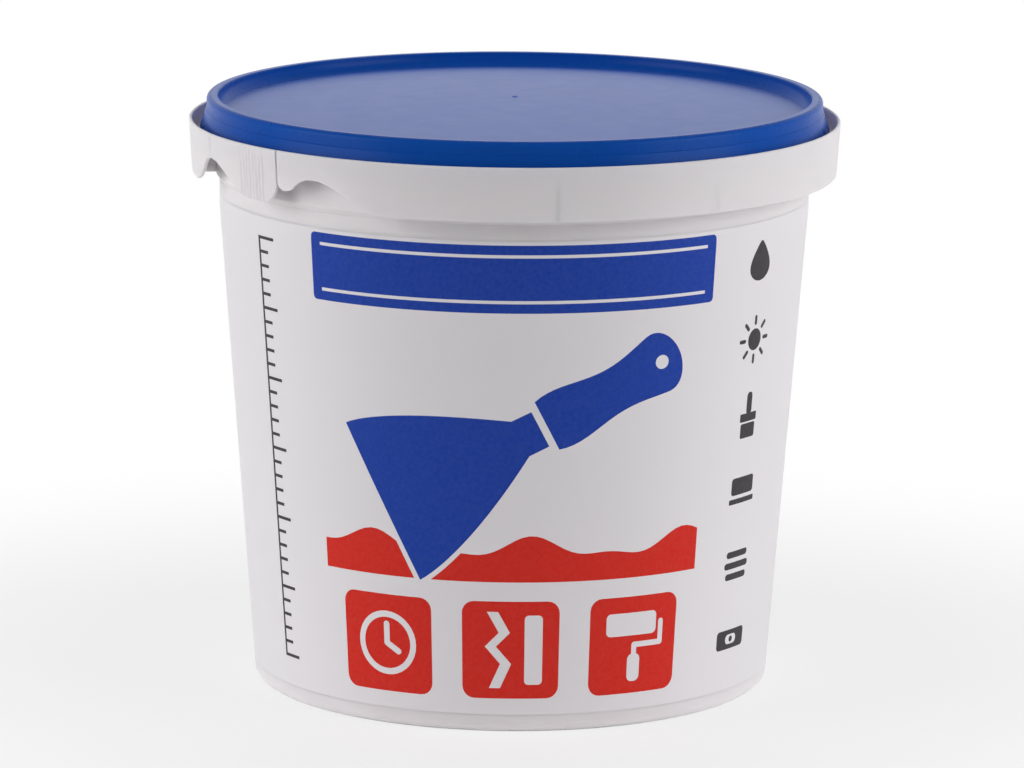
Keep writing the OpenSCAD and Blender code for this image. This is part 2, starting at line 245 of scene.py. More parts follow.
def grid_patch(grid, wrap=False, flip=False):
    """Quads over a grid of points [u, v], with normals from the cross product of the two directions. With
    wrap it closes along v. A row that has shrunk to a pole takes the mean normal of the row beside it."""
    normals = np.cross(steps(grid, 0, False), steps(grid, 1, wrap))
    size = np.linalg.norm(normals, axis=-1)
    poles = np.flatnonzero(size.max(axis=1) < size.max() * POLE_SIZE)
    normals = unit(normals)
    for row in poles:
        beside = row + 1 if row == 0 else row - 1
        normals[row] = unit(normals[beside].mean(axis=0))
    index = np.arange(grid.shape[0] * grid.shape[1]).reshape(grid.shape[:2])
    if wrap:
        index = np.concatenate([index, index[:, :1]], axis=1)
    quads = np.stack([index[:-1, :-1], index[1:, :-1], index[1:, 1:], index[:-1, 1:]], axis=-1)
    quads = quads.reshape(-1, 4)
    if flip:
        quads, normals = quads[:, ::-1], -normals
    return {"points": grid.reshape(-1, 3), "faces": quads, "normals": normals.reshape(-1, 3)}


def flat_patch(loop, facing):
    """A flat face over a closed loop of points, cut into triangles that look along the facing direction."""
    corners = np.array(tessellate_polygon([[Vector(p) for p in loop]]))
    a, b, c = (loop[corners[:, k]] for k in range(3))
    backward = np.cross(b - a, c - a) @ facing < 0
    corners[backward] = corners[backward][:, ::-1]
    faces = np.column_stack([corners, corners[:, 2]])
    normals = np.tile(unit(np.asarray(facing, float)), (len(loop), 1))
    return {"points": loop, "faces": faces, "normals": normals}


def around(r, a, z):
    """Points at radius r, height z and angle a in degrees from the front, positive to the right."""
    turn = np.radians(a)
    return np.stack(np.broadcast_arrays(r * np.sin(turn), -r * np.cos(turn), z), axis=-1)


# %% [markdown]
# A piece's points that fall on one place are welded, which closes seams and poles. Each patch keeps its
# own normals at the weld, so that a rounded edge shades as a rounded edge and a crisp one stays crisp.

# %% Patches welded into a piece
WELD = 0.001


def make_piece(name, patches, materials, body, node):
    """One mesh from patches in millimetres: points welded, repeated corners dropped, normals per corner."""
    points = np.concatenate([p["points"] for p in patches])
    normals = np.concatenate([p["normals"] for p in patches])
    starts = np.cumsum([0] + [len(p["points"]) for p in patches[:-1]])
    faces = np.concatenate([p["faces"] + s for p, s in zip(patches, starts)])
    inks = np.concatenate([p.get("inks", np.zeros(len(p["faces"]), int)) for p in patches])
    _, first, index = np.unique(np.round(points / WELD).astype(np.int64), axis=0,
                                return_index=True, return_inverse=True)
    corners = index.reshape(-1)[faces]
    keep = corners != np.roll(corners, -1, axis=1)
    whole = keep.sum(axis=1) >= 3
    corners, keep, inks, faces = corners[whole], keep[whole], inks[whole], faces[whole]
    counts = keep.sum(axis=1)
    mesh = bpy.data.meshes.new(name)
    mesh.vertices.add(len(first))
    mesh.vertices.foreach_set("co", (points[first] * MM).ravel())
    mesh.loops.add(int(counts.sum()))
    mesh.loops.foreach_set("vertex_index", corners[keep].astype(np.int32))
    mesh.polygons.add(len(counts))
    mesh.polygons.foreach_set("loop_start", (np.cumsum(counts) - counts).astype(np.int32))
    mesh.polygons.foreach_set("material_index", inks.astype(np.int32))
    mesh.polygons.foreach_set("use_smooth", np.ones(len(counts), bool))
    mesh.update(calc_edges=True)
    mesh.normals_split_custom_set(normals[faces][keep])
    for material in materials:
        mesh.materials.append(material)
    piece = add_object(name, mesh)
    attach(piece, body)
    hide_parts(node)
    print(name, len(mesh.vertices), "points", int((counts - 2).sum()), "triangles")


# %% [markdown]
# Most of the tub is turned: a line (r, z) is carried round the axis. A drawing gives such a line as
# corners with fillets, so the next helpers turn each corner into an arc and the line into a patch.

# %% Lines with fillets, turned about the axis
ROUND = np.arange(0.0, 360.0, 1.0)


def arc(centre, radius, start, end, n=8):
    """Points of a round corner about a centre, from a start angle to an end angle in degrees."""
    a = np.radians(np.linspace(start, end, n + 1))
    return np.asarray(centre) + radius * np.column_stack([np.cos(a), np.sin(a)])


def rounded(corners, n=6):
    """A line through corners (r, z, fillet): each is cut back by fillet * tan(turn / 2) and gets an arc."""
    corners = np.asarray(corners, float)
    line = [corners[:1, :2]]
    for before, at, after in zip(corners[:-2], corners[1:-1], corners[2:]):
        come, go = unit(at[:2] - before[:2]), unit(after[:2] - at[:2])
        turn = math.atan2(come[0] * go[1] - come[1] * go[0], come @ go)
        side = math.copysign(1.0, turn)
        start = at[:2] - come * at[2] * math.tan(abs(turn) / 2)
        centre = start + side * at[2] * np.array([-come[1], come[0]])
        angle = math.degrees(math.atan2(*(start - centre)[::-1]))
        line.append(arc(centre, at[2], angle, angle + math.degrees(turn), n))
    line.append(corners[-1:, :2])
    return np.concatenate(line)


def turned(profile):
    """A profile (r, z) carried once round the axis."""
    return grid_patch(around(profile[:, :1], ROUND[None, :], profile[:, 1:]), wrap=True)


# %% [markdown]
# Moulded polypropylene is not one flat colour. It is satin, with a faint orange peel from the mould,
# slow waves where the wall cooled unevenly, and patches that were handled and are a little shinier. An
# image would need a map of the surface, and noise on the object's own coordinates needs none.

# %% Nodes for uneven finishes
DUST_CELLS, DUST_CORE, DUST_EDGE = 130.0, 0.02, 0.06


def textured(tree, kind, scale):
    """A texture on object coordinates, with its cells per metre given by the scale."""
    place = tree.nodes.new("ShaderNodeTexCoord")
    texture = tree.nodes.new(kind)
    texture.inputs["Scale"].default_value = scale
    tree.links.new(place.outputs["Object"], texture.inputs["Vector"])
    return texture


def noise(tree, scale, detail):
    """Smooth noise from 0 to 1."""
    texture = textured(tree, "ShaderNodeTexNoise", scale)
    texture.inputs["Detail"].default_value = detail
    return texture.outputs["Fac"]


def cells(tree, scale):
    """Distance to the nearest point of a scattered set, in cells."""
    return textured(tree, "ShaderNodeTexVoronoi", scale).outputs["Distance"]


def blended(tree, fac, first, second):
    """A colour between two colours, by a factor."""
    node = tree.nodes.new("ShaderNodeMix")
    node.data_type = "RGBA"
    tree.links.new(fac, node.inputs["Factor"])
    for key, colour in (("A", first), ("B", second)):
        socket = next(s for s in node.inputs if s.name == key and s.type == "RGBA")
        socket.default_value = (*colour, 1.0)
    return next(s for s in node.outputs if s.type == "RGBA")


def finish(name, dark, light, tint, gloss, rough, specular, dust=0.0):
    """A material: its colour lies between dark and light by one noise, its roughness in a range by another,
    and near the points of a cell pattern dust makes it rougher."""
    material = bpy.data.materials.new(name)
    material.use_nodes = True
    tree = material.node_tree
    bsdf = tree.nodes["Principled BSDF"]
    colour = blended(tree, ranged(tree, noise(tree, *tint), 0.0, 1.0), dark, light)
    satin = ranged(tree, noise(tree, *gloss), *rough)
    if dust > 0:
        specks = ranged(tree, cells(tree, DUST_CELLS), dust, 0.0, DUST_CORE, DUST_EDGE)
        satin = combined(tree, "ADD", satin, specks)
    tree.links.new(colour, bsdf.inputs["Base Color"])
    tree.links.new(satin, bsdf.inputs["Roughness"])
    bsdf.inputs["Specular IOR Level"].default_value = specular
    return material


def add_bump(material, height, depth):
    """A bump of a depth in metres, on top of the material's earlier ones."""
    tree = material.node_tree
    normal = tree.nodes["Principled BSDF"].inputs["Normal"]
    node = tree.nodes.new("ShaderNodeBump")
    node.inputs["Distance"].default_value = depth
    tree.links.new(height, node.inputs["Height"])
    for earlier in normal.links:
        tree.links.new(earlier.from_socket, node.inputs["Normal"])
    tree.links.new(node.outputs["Normal"], normal)


# %% [markdown]
# Three plastics share one recipe. A slow noise moves the colour by a few percent, a finer one the
# roughness, and the finest is a bump of some microns. The white wall is thin and lets some light
# through, so light also scatters under its skin. The lid has a polished finish and a matt one, and a
# little dust lies on it: round the points of a cell pattern the gloss is broken.

# %% Plastics
# A noise is given by its cells per metre and its detail.
SLOW, CLOUDS, PEEL = (28.0, 3.0), (160.0, 4.0), (1500.0, 2.0)
PEEL_DEPTH = 0.000006
GLOSS_DOWN, GLOSS_UP = 0.015, 0.02
SCATTER = (("Weight", 0.7), ("Radius", (1.0, 0.92, 0.96)), ("Scale", 0.002))


def moulded_plastic(name, light, dark, rough, specular, dust=0.0, wave=0.00001):
    """Satin plastic with the mould's fine orange peel, and slow waves on top of it."""
    rough_range = rough - GLOSS_DOWN, rough + GLOSS_UP
    material = finish(name, dark, light, SLOW, CLOUDS, rough_range, specular, dust)
    add_bump(material, noise(material.node_tree, *PEEL), PEEL_DEPTH)
    add_bump(material, noise(material.node_tree, *SLOW), wave)
    return material


tub_white = moulded_plastic("tub_white", (0.775, 0.747, 0.765), (0.75, 0.722, 0.74), 0.4, 0.1)
lid_blue = moulded_plastic("lid_blue", (0.004, 0.075, 0.40), (0.0035, 0.070, 0.38), 0.28, 0.05, 0.1)
lid_matt = moulded_plastic("lid_matt", (0.003, 0.070, 0.38), (0.0025, 0.065, 0.36), 0.42, 0.85, 0.2,
                           wave=0.000001)
for key, value in SCATTER:
    tub_white.node_tree.nodes["Principled BSDF"].inputs["Subsurface " + key].default_value = value
print("plastics", tub_white.name, lid_blue.name, lid_matt.name)

# %% [markdown]
# The tub is one moulding: a tapered wall on a foot ring, a shallow bed for the label, a neck with a
# sloping ledge, and a thin rim with a snap bead that the lid closes on. All of that is one line turned
# about the axis. Its corners carry small fillets, as a mould's do, because they catch the light.

# %% Tub wall, turned from one line
tub_high = np.array(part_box("tub")[1]) / MM
label_low, label_high = (np.array(corner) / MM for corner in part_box("label"))
BASE_R, BAND_R, TAPER_H = 73.25, label_high[0], 136.5
WALL_T, FLOOR_Z, FOOT_H, FOOT_W = 1.5, 3.6, 2.0, 4.0
NECK_R, NECK_T, NECK_Z, LEDGE_H = 84.7, 1.35, 146.0, 1.6
WEB_Z0, WEB_Z1 = 155.3, 156.6
RIM_R, RIM_T, RIM_STEP, RIM_Z = 86.1, 0.95, 1.4, tub_high[2]
BEAD_R, BEAD_Z, BEAD_H = 87.3, 159.7, 3.0
LABEL_T, LABEL_BED, BED_GAP = 0.25, 0.3, 0.005
HEEL_FILLET, FLOOR_FILLET, TAPER_FILLET = 3.0, 4.0, 5.0
TINY_FILLET, SMALL_FILLET, LEDGE_FILLET, FOOT_FILLET = 0.006, 0.4, 0.5, 0.6
BEAD_FOOT, BEAD_CREST = 0.2, 0.3
CREST_SHARE, RIM_ROUND_SHARE = 0.125, 0.49
TAPER = (BAND_R - BASE_R) / TAPER_H


def wall_r(z):
    """Outer radius of the tapered wall, which is straight above the taper's height."""
    return BASE_R + TAPER * np.minimum(z, TAPER_H)


def tub_line():
    """The tub's section, from the middle of the underside out, up, over the rim and down to the floor."""
    bed0, bed1 = label_low[2] - BED_GAP, label_high[2] + BED_GAP
    foot_in = BASE_R - HEEL_FILLET - FOOT_W + HEEL_FILLET * TAPER
    bed_r, neck_in, band_in, rim_in = BAND_R - LABEL_BED, NECK_R - NECK_T, BAND_R - WALL_T, RIM_R - RIM_T
    step_z, ledge_z = WEB_Z1 + RIM_STEP, NECK_Z - LEDGE_H
    crest, half_round = BEAD_H * CREST_SHARE, RIM_T * RIM_ROUND_SHARE
    foot = [(0, FOOT_H, 0), (foot_in, FOOT_H, FOOT_FILLET), (foot_in, 0, SMALL_FILLET),
            (BASE_R, 0, HEEL_FILLET)]
    wall = [(wall_r(bed0), bed0, TINY_FILLET), (wall_r(bed0) - LABEL_BED, bed0, TINY_FILLET),
            (bed_r, TAPER_H, TAPER_FILLET), (bed_r, bed1, TINY_FILLET), (BAND_R, bed1, TINY_FILLET)]
    neck = [(BAND_R, ledge_z, LEDGE_FILLET), (NECK_R, NECK_Z, LEDGE_FILLET), (NECK_R, WEB_Z1, SMALL_FILLET)]
    bead = [(RIM_R, step_z, SMALL_FILLET), (RIM_R, BEAD_Z - BEAD_H / 2, BEAD_FOOT),
            (BEAD_R, BEAD_Z - crest, BEAD_CREST), (BEAD_R, BEAD_Z + crest, BEAD_CREST),
            (RIM_R, BEAD_Z + BEAD_H / 2, BEAD_FOOT)]
    rim = [(RIM_R, RIM_Z, half_round), (rim_in, RIM_Z, half_round), (rim_in, step_z, SMALL_FILLET)]
    inside = [(neck_in, WEB_Z1, SMALL_FILLET), (neck_in, NECK_Z, LEDGE_FILLET),
              (band_in, ledge_z, LEDGE_FILLET), (band_in, TAPER_H, TAPER_FILLET),
              (BASE_R - WALL_T + TAPER * FLOOR_Z, FLOOR_Z, FLOOR_FILLET), (0, FLOOR_Z, 0)]
    return rounded(foot + wall + neck + bead + rim + inside)


tub_patches = [turned(tub_line())]
print("tub line", len(tub_line()), "points")

# %% [markdown]
# The collar is what makes the tub tamper-evident: a thin skirt that stands round the lid's edge on a
# web, so that no finger reaches the lid until the tear tab has been pulled out of it. Its lower edge
# dips to a round toe beside the slit, rises steeply to a finger arch and runs out in a long flank. At
# the other end it climbs in a slow S to a second arch, where the strip is narrowest and the tab bends.
# The edge is a height over the length, put together from circles and a cosine.

# %% Lower edge of the collar and of the tab
COLLAR_R, COLLAR_T, COLLAR_Z, SKIRT_Z = tub_high[1], 1.0, 161.5, 146.4
TOE_R, TOE_FLAT, TOE_Z = 2.4, 0.5, 150.5
APEX_Z, EXIT_Z, ARCH_RISE, ARCH_LEAD, ARCH_RUN = 154.55, 146.1, 10.1, 19.0, 24.0
RISE_FOOT_SHARE, LEAD_FOOT_SHARE = 0.31, 0.69
CORNER, CORNER_SHARE = 7.2, 1.06
TOE_END = TOE_R + TOE_FLAT
APEX_AT = TOE_END + ARCH_RISE


def steep_flank(s, run, rise, foot):
    """Height of a flank over its length: a hollow circle, then a round one that ends level, with one
    tangent where they meet. Their radii add up to run / sin(2 atan(rise / run)), and foot is the hollow
    one's share."""
    turn = 2 * math.atan2(rise, run)
    foot_r, head_r = (share * run / math.sin(turn) for share in (foot, 1 - foot))
    hollow = foot_r - np.sqrt(np.maximum(foot_r ** 2 - s ** 2, 0))
    head = rise - head_r + np.sqrt(np.maximum(head_r ** 2 - (run - s) ** 2, 0))
    return np.where(s < 0, 0.0, np.where(s < foot_r * math.sin(turn), hollow, head))


def long_flank(d):
    """Height at a distance from an arch's apex: half a cosine wave down to just below the skirt's edge."""
    return EXIT_Z + (APEX_Z - EXIT_Z) * (1 + np.cos(np.pi * np.clip(d / ARCH_RUN, 0, 1))) / 2


def collar_edge(s, length):
    """Lower edge of the collar from the slit on: a quarter circle for the toe, a level stretch, a steep
    flank, a long flank, the skirt's own edge, and a slow steep flank up to the bend."""
    toe = TOE_Z + TOE_R - np.sqrt(np.maximum(TOE_R ** 2 - (TOE_R - s) ** 2, 0))
    rise = TOE_Z + steep_flank(s - TOE_END, ARCH_RISE, APEX_Z - TOE_Z, RISE_FOOT_SHARE)
    arch = np.where(s < TOE_R, toe, np.where(s < APEX_AT, rise, long_flank(s - APEX_AT)))
    lead = EXIT_Z + steep_flank(ARCH_LEAD - (length - s), ARCH_LEAD, APEX_Z - EXIT_Z, LEAD_FOOT_SHARE)
    return np.maximum(np.maximum(arch, lead), SKIRT_Z)


def tab_edge(s, length):
    """Lower edge of the tab from the bend on: a long flank, the skirt's edge and a round corner."""
    radius, from_end = CORNER * CORNER_SHARE, length - s
    corner = SKIRT_Z + CORNER - np.sqrt(np.maximum(radius ** 2 - (CORNER - from_end) ** 2, 0))
    return np.maximum(np.maximum(long_flank(s), np.where(from_end < CORNER, corner, SKIRT_Z)), SKIRT_Z)


print("finger arches reach", round(APEX_Z - SKIRT_Z, 2), "mm above the skirt's edge")

# %% [markdown]
# The slit and the bend cut the ring in two, the collar and the tab. Their places are lengths along the
# ring, counted from the front.

# %% Where the collar and the tab begin and end
SLIT_RUN, SLIT_W, TAB_LEN, BEND_GAP = 72.7, 0.4, 34.9, 0.01


def span(s):
    """Angle in degrees of a length along the collar."""
    return np.degrees(s / COLLAR_R)


slit_a, bend_a = -span(SLIT_RUN), -span(SLIT_RUN + TAB_LEN)
tab_end_a, collar_start_a = slit_a - span(SLIT_W / 2), slit_a + span(SLIT_W / 2)
tab_root_a, collar_end_a = bend_a + span(BEND_GAP / 2), 360 + bend_a - span(BEND_GAP / 2)
collar_length = math.radians(collar_end_a - collar_start_a) * COLLAR_R
tab_length = math.radians(tab_end_a - tab_root_a) * COLLAR_R
print("collar runs", round(collar_length, 1), "mm and the tab", round(tab_length, 1), "mm")

# %% [markdown]
# The strip is a closed section carried along that edge: an inner face, which on the collar has a link to
# the web, a rounded lower edge, an outer face with a little draft and a half-round top.

# %% Section of the strip
COLLAR_DRAFT = math.tan(math.radians(3.6))
EDGE_FILLET, TAB_GAP, SUNK = 0.25, 0.3, 0.5
LINK_INSET, LINK_FOOT = 0.1, 0.15
# Which points down the inner face are the link's fillets, and which its end.
LINK_FILLETS, LINK_END = [4, 7], [5, 6]
FACE_N, RIB_FADE = 13, 10


def skirt_r(z):
    """Outer radius of the drafted skirt at a height."""
    return COLLAR_R - COLLAR_DRAFT * (COLLAR_Z - z)


WEB_EDGE_R = skirt_r(WEB_Z0) - COLLAR_T - TAB_GAP


def inner_face(low, top, half):
    """Radii and heights down the inner face: three points above the link, six round it and two below. The
    link is a little thinner than the web, and its end is sunk in it between two fillets."""
    z0, z1 = WEB_Z0 + LINK_INSET, WEB_Z1 - LINK_INSET
    link = np.array([[z1 + SMALL_FILLET, z1, z1, z0, z0, z0 - LINK_FOOT]])
    above = np.linspace(top, link[0, 0], 4)[None, :-1]
    below = link[0, -1] + (low - link[0, -1]) * np.array([[0.5, 1.0]])
    z = np.concatenate([above + 0 * low, link + 0 * low, below], axis=1)
    r = skirt_r(z) - COLLAR_T / 2 - half
    r[:, LINK_FILLETS] -= SMALL_FILLET
    r[:, LINK_END] = WEB_EDGE_R - SUNK
    return r, z


def strip_section(edge, inset, swell, web):
    """Closed section at each length, as radii and heights [length, point], about the strip's middle: down
    the inner face, round the lower edge, up the outer face with its swell and over a half-round top."""
    low = edge[:, None] + EDGE_FILLET
    top = COLLAR_Z - COLLAR_T / 2
    half = COLLAR_T / 2 - inset[:, None]
    climb = np.linspace(0, 1, FACE_N)[None, :]
    up_z = low + (top - low) * climb
    up_middle, low_middle = skirt_r(up_z) - COLLAR_T / 2, skirt_r(low) - COLLAR_T / 2
    up_r = up_middle + half + swell[:, None] * np.sqrt(1 - climb ** RIB_FADE)
    over = np.radians(np.linspace(0, 180, FACE_N))[None, 1:-1]
    over_z = top + COLLAR_T / 2 * np.sin(over) + 0 * low
    over_r = skirt_r(top) - COLLAR_T / 2 + half * np.cos(over)
    plain = (up_middle - half)[:, ::-1], up_z[:, ::-1]
    down_r, down_z = inner_face(low, top, half) if web else plain
    bend = np.radians(np.linspace(0, 90, 5))[None, :]
    back = bend[:, ::-1]
    reach = np.minimum(EDGE_FILLET, half)
    in_r = low_middle - half + reach * (1 - np.cos(bend))
    out_r = low_middle + half - reach * (1 - np.cos(back)) + swell[:, None] * np.cos(back)
    in_z, out_z = low - EDGE_FILLET * np.sin(bend), low - EDGE_FILLET * np.sin(back)
    r = np.concatenate([down_r[:, :-1], in_r, out_r, up_r[:, 1:], over_r], axis=1)
    z = np.concatenate([down_z[:, :-1], in_z, out_z, up_z[:, 1:], over_z], axis=1)
    return r, z


print("web edge at radius", round(WEB_EDGE_R, 2), "mm")

# %% [markdown]
# At the slit the strip thins in the last fraction of a millimetre, which rounds its edges. At the bend
# the ends stay square, so that tab and collar read as the one strip that they are. Sections stand
# closer where the edge bends, and further apart along the plain skirt.

# %% Skin of the strip, and the collar
END_FILLET, STRIP_STEP = 0.3, 1.6
QUARTER_SHARES = 1 - np.cos(np.linspace(0, np.pi / 2, 11))


def strip_stations(length, *marks):
    """Lengths along the strip: an even walk, and closer steps at the marks, where edge or face bends."""
    s = np.concatenate([np.arange(0, length, STRIP_STEP), [length], *marks])
    return np.unique(np.clip(s, 0, length).round(4))


def end_inset(d):
    """How much each face draws in at a distance from the slit: a quarter circle over the end fillet."""
    return END_FILLET * (1 - np.sqrt(1 - (1 - np.clip(d / END_FILLET, 0, 1)) ** 2))


def ahead(a):
    """Direction along the ring at an angle in degrees."""
    return np.array([math.cos(math.radians(a)), math.sin(math.radians(a)), 0])


def strip_patches(start_a, s, edge, inset, swell, web):
    """The strip's skin from its section at every length, and a flat face at each end."""
    r, z = strip_section(edge, inset, swell, web)
    a = start_a + span(s)
    skin = around(r, a[:, None], z)
    ends = [flat_patch(skin[0], -ahead(a[0])), flat_patch(skin[-1], ahead(a[-1]))]
    return [grid_patch(skin, wrap=True)] + ends


collar_s = strip_stations(collar_length, END_FILLET * QUARTER_SHARES, TOE_R * QUARTER_SHARES,
                          np.linspace(TOE_R, APEX_AT, 33), APEX_AT + np.linspace(0, ARCH_RUN, 41),
                          collar_length - np.linspace(0, ARCH_LEAD, 41))
tub_patches += strip_patches(collar_start_a, collar_s, collar_edge(collar_s, collar_length),
                             end_inset(collar_s), 0 * collar_s, True)
print("collar", len(collar_s), "sections")

# %% [markdown]
# Under the collar a flat web joins it to the neck, upright gussets stiffen the skirt, and in the tear
# zone thin bridges reach towards the tab: they are what breaks when it is pulled. The web is a small
# rectangle turned about the axis, and the rest are outlines given a thickness.

# %% Web, gussets, bridges, and the finished tub
WEB_FILLET = 0.2
GUSSET_STEP, GUSSET_TURN, GUSSET_T, GUSSET_LIFT = 30, 7.5, 1.0, 0.4
BRIDGE_COUNT, BRIDGE_W, BRIDGE_H, BRIDGE_GAP, BRIDGE_ROOT = 5, 1.2, 0.7, 0.1, 1.0


def bar(loop, a, width):
    """A closed section (r, z) carried across an angle over a width, with a flat face at each end."""
    ends = np.array([a - span(width / 2), a + span(width / 2)])
    loop = np.array(loop)
    skin = around(loop[None, :, 0], ends[:, None], loop[None, :, 1])
    sides = [grid_patch(skin[:, [k, (k + 1) % len(loop)]]) for k in range(len(loop))]
    return sides + [flat_patch(skin[0], -ahead(ends[0])), flat_patch(skin[1], ahead(ends[1]))]


def gusset(a):
    """An upright plate between neck and skirt at an angle, sunk into both and into the web."""
    z0, z1, root = SKIRT_Z + GUSSET_LIFT, WEB_Z0 + SUNK, NECK_R - SUNK
    low_r, high_r = (skirt_r(z) - COLLAR_T + SUNK for z in (z0, WEB_Z0))
    return bar([(root, NECK_Z), (NECK_R, z0), (low_r, z0), (high_r, z1), (root, z1)], a, GUSSET_T)


def bridge(a):
    """A breaking bridge at an angle: a small block from inside the web to a hair's breadth from the tab."""
    root, out, top = WEB_EDGE_R - BRIDGE_ROOT, WEB_EDGE_R + TAB_GAP - BRIDGE_GAP, WEB_Z0 + BRIDGE_H
    return bar([(root, WEB_Z0), (out, WEB_Z0), (out, top), (root, top)], a, BRIDGE_W)


arch_end_a, lead_start_a = collar_start_a + span(APEX_AT + ARCH_RUN), bend_a - span(ARCH_LEAD)
gusset_angles = GUSSET_TURN + np.arange(-180, 180, GUSSET_STEP)
gusset_angles = gusset_angles[(gusset_angles < lead_start_a) | (gusset_angles > arch_end_a)]
bridge_angles = tab_root_a + (tab_end_a - tab_root_a) * (np.arange(BRIDGE_COUNT) + 0.5) / BRIDGE_COUNT
web_line = rounded([(NECK_R - SUNK, WEB_Z0, 0), (WEB_EDGE_R, WEB_Z0, WEB_FILLET),
                    (WEB_EDGE_R, WEB_Z1, WEB_FILLET), (NECK_R - SUNK, WEB_Z1, 0)])
tub_patches.append(turned(np.concatenate([web_line, web_line[:1]])))
tub_patches += [patch for a in gusset_angles for patch in gusset(a)]
tub_patches += [patch for a in bridge_angles for patch in bridge(a)]
make_piece("tub_moulding", tub_patches, [tub_white], "tub", "tub")

# %% [markdown]
# The tear tab is the ribbed tongue of the collar. Fine upright ribs give the thumb a grip: each is a
# smooth swelling of the outer face, a raised cosine across its width, fading out below the top edge.

# %% Tear tab
RIB_COUNT, RIB_PITCH, RIB_W, RIB_H, RIB_START = 8, 1.45, 0.85, 0.25, 5.8
RIB_STEPS, RIB_SPARE = 14, 0.2


def rib_swell(s, length):
    """Height that the ribs add at each length: a raised cosine across each, from the free end back."""
    crest = length - RIB_START - RIB_PITCH * np.arange(RIB_COUNT)
    d = np.abs(s[:, None] - crest[None, :]).min(axis=1) / (RIB_W / 2)
    return RIB_H * np.where(d < 1, (1 + np.cos(np.pi * d)) / 2, 0)


rib_from = tab_length - RIB_START - RIB_PITCH * (RIB_COUNT - 0.5)
rib_lines = np.arange(rib_from, rib_from + RIB_PITCH * (RIB_COUNT + RIB_SPARE), RIB_PITCH / RIB_STEPS)
tab_s = strip_stations(tab_length, np.linspace(0, ARCH_RUN, 41), tab_length - np.linspace(0, CORNER, 19),
                       tab_length - END_FILLET * QUARTER_SHARES, rib_lines)
tab_patches = strip_patches(tab_root_a, tab_s, tab_edge(tab_s, tab_length), end_inset(tab_length - tab_s),
                            rib_swell(tab_s, tab_length), False)
make_piece("tear_tab_strip", tab_patches, [tub_white], "tear_tab", "tear_tab")

# %% [markdown]
# The lid is a second moulding: an outer wall that flares at its foot, a fine ledge below an upright
# band, a rounded top edge over the rim, a recess and a domed panel. It is turned too, but in four
# stretches, because the top of the rim and the panel are matt and the rest is polished.

# %% Lid's outer wall and underside
lid_low, lid_high = (np.array(corner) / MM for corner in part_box("lid"))
LID_Z, LID_BOTTOM = lid_high[2], lid_low[2]
LID_T, LID_TOP_T, LID_R, EDGE_R = 0.95, 1.25, 87.25, 1.3
FLARE_OUT, FLARE_H, FLARE_POWER = 0.5, 4.6, 1.15
LID_BAND_H, LID_LEDGE = 4.05, 0.3
# Height over the flare and fillet of the ledge's two corners, and where the plain wall begins.
LEDGE_LOW, LEDGE_HIGH, LEDGE_END = (0.1, 0.12), (0.22, 0.25), 0.8
CHANNEL_FILLET, CHANNEL_END, FOOT_ROUND = 0.3, 0.4, 0.25
RECESS_R, RECESS_D, RECESS_CURVE, RECESS_TURN = 84.0, 4.1, 4.25, 55
PANEL_CROWN = 3.45
FLARE_R = lid_high[0] + FLARE_OUT
PANEL_R = RECESS_R - RECESS_CURVE * (1 - math.cos(math.radians(RECESS_TURN)))
PANEL_Z = LID_Z - RECESS_D
RECESS_AT = (RECESS_R - RECESS_CURVE, PANEL_Z + RECESS_CURVE * math.sin(math.radians(RECESS_TURN)))


def flare_line(inner):
    """The flare, from its foot up: the radius falls to the ledge with a power of what is left to climb.
    Inside, the same curve lies one wall thickness further in."""
    u = np.linspace(0, 1, 17)
    ledge_r = LID_R + LID_LEDGE
    r = ledge_r + (FLARE_R - ledge_r) * (1 - u) ** FLARE_POWER - (LID_T + LID_LEDGE * u if inner else 0)
    return np.column_stack([r, LID_Z - LID_BAND_H - FLARE_H + FLARE_H * u])


def dome_line(drop):
    """The domed panel from its edge to its middle: the height falls with the square of the radius."""
    r = PANEL_R * np.linspace(1, 0, 41)
    return np.column_stack([r, PANEL_Z + PANEL_CROWN * (1 - (r / PANEL_R) ** 2) - drop])


def shell_line():
    """The lid's section from the middle of the underside, round the channel and up the wall to the top."""
    channel, ledge_z = LID_Z - LID_TOP_T, LID_Z - LID_BAND_H
    flare, flare_in = flare_line(False), flare_line(True)
    back_top = math.degrees(math.asin((RECESS_AT[1] - channel) / (RECESS_CURVE + LID_T)))
    back = arc(RECESS_AT, RECESS_CURVE + LID_T, -RECESS_TURN, -back_top)
    inside = rounded([(*back[-1], 0), (LID_R - LID_T, channel, CHANNEL_FILLET),
                      (LID_R - LID_T, ledge_z + CHANNEL_END, 0)])
    foot = rounded([(*flare_in[0], 0), (FLARE_R - LID_T, LID_BOTTOM, FOOT_ROUND),
                    (FLARE_R, LID_BOTTOM, FOOT_ROUND), (*flare[0], 0)])
    ledge = rounded([(*flare[-1], 0), (LID_R + LID_LEDGE, ledge_z + LEDGE_LOW[0], LEDGE_LOW[1]),
                     (LID_R, ledge_z + LEDGE_HIGH[0], LEDGE_HIGH[1]), (LID_R, ledge_z + LEDGE_END, 0)])
    edge = arc((LID_R - EDGE_R, LID_Z - EDGE_R), EDGE_R, 0, 90, 12)
    return np.concatenate([dome_line(LID_T)[::-1], back[:-1], inside, flare_in[::-1][2:-1], foot,
                           flare[1:-1], ledge, edge])


lid_patches = [turned(shell_line())]
print("lid shell", len(shell_line()), "points")

# %% [markdown]
# On top, the rim is level, the recess is a hollow curve, and the panel starts at a crisp edge. A gate
# mark stays in its middle, where the plastic came in.

# %% Lid's top, and the finished lid
LIP_R = 0.5
GATE_R, GATE_H, GATE_FOOT, GATE_SHARE = 0.85, 0.3, 0.3, 0.85
GATE_FILLETS = (0.1, 0.12)


